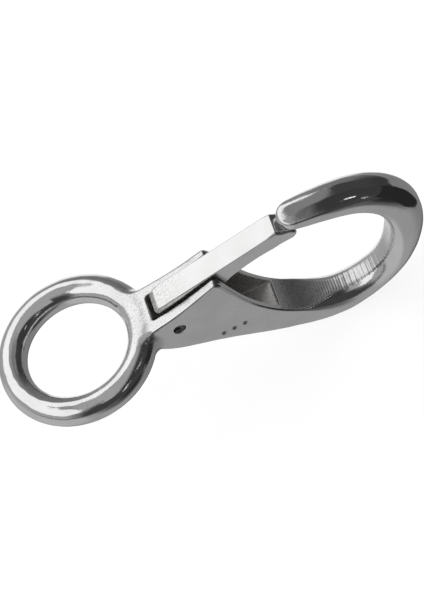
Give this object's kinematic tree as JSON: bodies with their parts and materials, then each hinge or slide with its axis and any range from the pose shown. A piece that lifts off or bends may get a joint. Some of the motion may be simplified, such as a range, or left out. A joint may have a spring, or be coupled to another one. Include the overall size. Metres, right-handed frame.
{
  "type": "fixed-eye snap hook",
  "caption": "Cast stainless fixed-eye boat snap: round eye, slotted shank and hook in one casting, with a spring-closed keeper gate hinged on a cross pin.",
  "frame": {"origin": "centre of the round eye, in its mid plane", "axes": "+X runs along the snap from the eye to the hook, +Y is along the gate's pivot pin, +Z is the eye's axis and points to the gate side"},
  "size_m": [0.1009, 0.037, 0.0414],
  "materials": {
    "polished_casting": "polished stainless casting",
    "polished_gate": "polished stainless, flat faces",
    "pin_steel": "turned stainless pin",
    "spring_wire": "drawn stainless spring wire"
  },
  "bodies": {
    "body": {"hook_body": "polished_casting", "pivot_pin": "pin_steel", "torsion_spring": "spring_wire"},
    "gate": {"gate": "polished_gate"}
  },
  "joints": [
    {"name": "gate_hinge", "type": "hinge", "parent": "body", "child": "gate", "pos_m": [0.0232, 0, 0], "axis": [0, 1, 0], "range_deg": [0, 28], "stiffness_Nm_per_rad": 0.07, "springref_deg": -60.16, "deforming": ["torsion_spring"]}
  ]
}
